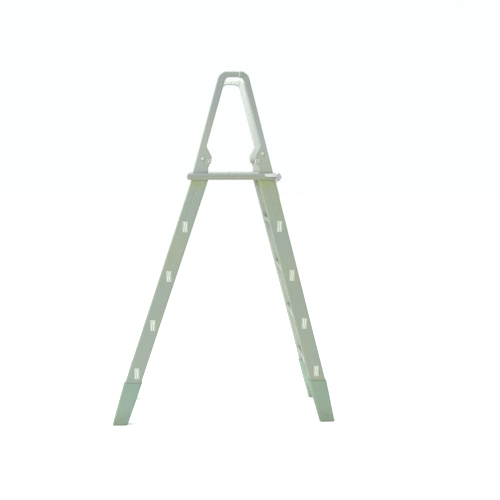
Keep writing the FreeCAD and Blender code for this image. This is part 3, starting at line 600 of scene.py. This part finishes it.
def build_knobs():
    hinge = knob_pattern(15.0 * MM, 25.0 * MM, 16.0 * MM)
    for name, side in SIDES:
        low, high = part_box("hinge_knob_" + name)
        seat = middle("hinge_knob_" + name)
        seat.y = low.y if side > 0 else high.y
        matrix = facing_out(seat, (0, side, 0), (1, 0, 0))
        hand_over(placed_copy(hinge, matrix), "wing_knob_hinge_" + name,
                  "hinge_knob_" + name, "knob_plastic", "hinge_knob_" + name)
    drop(hinge)
    clamp = knob_pattern(14.0 * MM, 26.0 * MM, 18.0 * MM)
    for group, way in (("pool", -1), ("outer", 1)):
        for name, side in SIDES:
            solid = group + "_boot_knob_" + name
            low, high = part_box(solid)
            seat = middle(solid)
            seat.y = low.y if side < 0 else high.y
            lean = slide_axis(group + "_foot_slide_" + name)
            across = lean.cross(Vector((0, 1, 0)))
            matrix = facing_out(seat, (0, -side, 0), across)
            hand_over(placed_copy(clamp, matrix), "wing_knob_" + group + "_foot_" + name,
                      group + "_foot_knob_" + name, "knob_plastic", solid)
    drop(clamp)


def slide_axis(joint_name):
    for joint in frame["joints"]:
        if joint["name"] == joint_name:
            return Vector(joint["axis"])
    raise ValueError(joint_name)


# ------------------------------------------------------------------ screws
def screw_pattern(head, rise_by, shank, reach):
    """Pan-head screw with a cross recess, standing on its seat at Z = 0."""
    screw = add_round(head, 0.0, rise_by, 28)
    start_edit()
    pick_faces(lambda c, n: n.z > 0.9)
    swell((0.90, 0.90, 1), (0, 0, 0))
    inset(0.28 * head)
    bpy.ops.transform.translate(value=(0, 0, 0.14 * head))
    pick_faces(lambda c, n: n.z < -0.9)
    inset(head - shank)
    push((0, 0, -0.92 * reach))
    push((0, 0, -0.08 * reach))
    swell((0.45, 0.45, 1), (0, 0, 0))
    end_edit()
    top = rise_by + 0.14 * head
    deep = 0.45 * rise_by
    arms = [add_block((1.25 * head, 0.26 * head, 2 * deep), (0, 0, top)),
            add_block((0.26 * head, 1.25 * head, 2 * deep), (0, 0, top))]
    clear_selection()
    bpy.context.view_layer.objects.active = screw
    screw.select_set(True)
    carve(arms)
    soften(0.05 * head)
    smooth_by_angle(30)
    return screw


def seat_of(pair, outwards, head_rise):
    """Point under the head of a carried-over screw, from its box and direction."""
    low, high = pair
    point = (low + high) / 2
    axis = max(range(3), key=lambda k: abs(outwards[k]))
    point[axis] = high[axis] - head_rise if outwards[axis] > 0 else low[axis] + head_rise
    return point


def build_screws():
    """Hinge, strap and joiner screws, one joined group for each carried-over node."""
    plate = screw_pattern(4.2 * MM, 2.4 * MM, 2.4 * MM, 25 * MM)
    side_head = screw_pattern(4.5 * MM, 2.0 * MM, 2.4 * MM, 17 * MM)
    made = []
    for low, high in lone_solids("bracket_screws"):
        if high.x - low.x > high.y - low.y:
            seat = seat_of((low, high), (1, 0, 0), 3.0 * MM)
            made.append(placed_copy(plate, facing_out(seat, (1, 0, 0))))
        else:
            out = 1 if low.y > 0 else -1
            seat = seat_of((low, high), (0, out, 0), 2.6 * MM)
            made.append(placed_copy(side_head, facing_out(seat, (0, out, 0))))
    hand_over(join(made), "hinge_screws", "frame", "steel", "bracket_screws")
    drop(plate)
    drop(side_head)

    lean = slide_axis("outer_foot_slide_left")
    out = Vector((-lean.z, 0, lean.x)).normalized()
    head_rise = 3.0 * MM
    strap = 3.5 * MM
    in_rail = 6.0 * MM
    short = screw_pattern(4.2 * MM, 2.4 * MM, 2.4 * MM, 9 * MM)
    made = []
    for low, high in lone_solids("strap_screws"):
        centre = (low + high) / 2
        seat = centre + out * ((in_rail + strap + head_rise) / 2 - head_rise)
        made.append(placed_copy(short, facing_out(seat, out)))
    hand_over(join(made), "rail_strap_screws", "outer_ladder", "steel", "strap_screws")
    drop(short)

    small = screw_pattern(4.5 * MM, 1.6 * MM, 2.2 * MM, 10 * MM)
    made = []
    for low, high in lone_solids("joiner_screws"):
        out = -1 if low.y > 0 else 1
        seat = seat_of((low, high), (0, out, 0), 2.2 * MM)
        made.append(placed_copy(small, facing_out(seat, (0, out, 0))))
    hand_over(join(made), "handrail_joiner_screws", "frame", "steel", "joiner_screws")
    drop(small)


# ------------------------------------------------------------------ caps and plugs
def cap_pattern(radius, height):
    """Domed cap over a bolt head, with a flange and a dimple."""
    cap = add_round(radius * 0.86, 0.0, height, 36)
    start_edit()
    bpy.ops.mesh.select_all(action="SELECT")
    bpy.ops.mesh.bisect(plane_co=(0, 0, 0.22 * height), plane_no=(0, 0, 1))
    pick_faces(lambda c, n: c.z < 0.22 * height and abs(n.z) < 0.5)
    bpy.ops.mesh.extrude_region_shrink_fatten(TRANSFORM_OT_shrink_fatten={"value": radius * 0.14})
    pick_faces(lambda c, n: n.z > 0.9 and c.z > 0.9 * height)
    bpy.ops.transform.translate(value=(0, 0, -0.20 * height))
    for thickness, step in ((0.16, 0.11), (0.20, 0.06), (0.18, 0.02)):
        inset(thickness * radius, step * height)
    inset(0.05 * radius, -0.05 * height)
    end_edit()
    soften(0.03 * radius)
    smooth_by_angle(35)
    return cap


def build_bolt_caps():
    pattern = cap_pattern(9.0 * MM, 6.5 * MM)
    made = []
    for low, high in lone_solids("bolt_caps"):
        out = 1 if low.y > 0 else -1
        seat = (low + high) / 2
        seat.y = low.y if out > 0 else high.y
        made.append(placed_copy(pattern, facing_out(seat, (0, out, 0))))
    hand_over(join(made), "domed_bolt_caps", "frame", "cap_plastic", "bolt_caps")
    drop(pattern)


def plug_pattern(wide, tall, deep):
    """Plug of a rail slot: face at Z = 0, two slanted ribs in a sunk panel, a tongue behind."""
    rim = 2.0 * MM
    sink = 5.0 * MM
    slant = 2.4 * MM
    rib_tall = tall - 2 * rim - 3.0 * MM
    rib_deep = sink + 0.8 * MM
    rib_back = 0.2 * MM
    plug = add_block((wide, tall, deep), (0, 0, -deep / 2))
    start_edit()
    pick_faces(lambda c, n: n.z > 0.9)
    inset(rim)
    inset(0.4 * MM, -sink)
    pick_faces(lambda c, n: n.z < -0.9)
    inset(3.0 * MM)
    push((0, 0, -4 * MM))
    end_edit()
    soften(0.5 * MM)
    ribs = []
    for shift in (-5.9 * MM, 5.9 * MM):
        rib = add_block((6.6 * MM, rib_tall, rib_deep), (shift, 0, -rib_deep / 2 - rib_back))
        start_edit()
        bpy.ops.mesh.select_all(action="SELECT")
        bpy.ops.mesh.bisect(plane_co=(shift, 0, 0), plane_no=(0, 1, 0))
        for way in (-1, 1):
            pick_faces(lambda c, n: n.y * way > 0.9)
            bpy.ops.transform.translate(value=(way * slant, 0, 0))
        pick_faces(lambda c, n: n.z > 0.9)
        swell((0.84, 0.97, 1), (shift, 0, 0))
        end_edit()
        soften(0.6 * MM)
        ribs.append(rib)
    plug = join([plug] + ribs)
    smooth_by_angle(35)
    return plug


def build_tread_plugs():
    pattern = plug_pattern(28.6 * MM, 65.6 * MM, 12.5 * MM)
    for group, body in (("pool", "frame"), ("outer", "outer_ladder")):
        made = []
        for low, high in lone_solids(group + "_tread_locks"):
            out = 1 if low.y > 0 else -1
            face = (low + high) / 2
            face.y = high.y if out > 0 else low.y
            made.append(placed_copy(pattern, facing_out(face, (0, out, 0))))
        hand_over(join(made), group + "_tread_plugs", body, "lock_plastic", group + "_tread_locks")
    drop(pattern)


# ------------------------------------------------------------------ build
add_camera()
light_the_room()
add_floor()
dress_cad_nodes()
build_knobs()
build_screws()
build_bolt_caps()
build_tread_plugs()
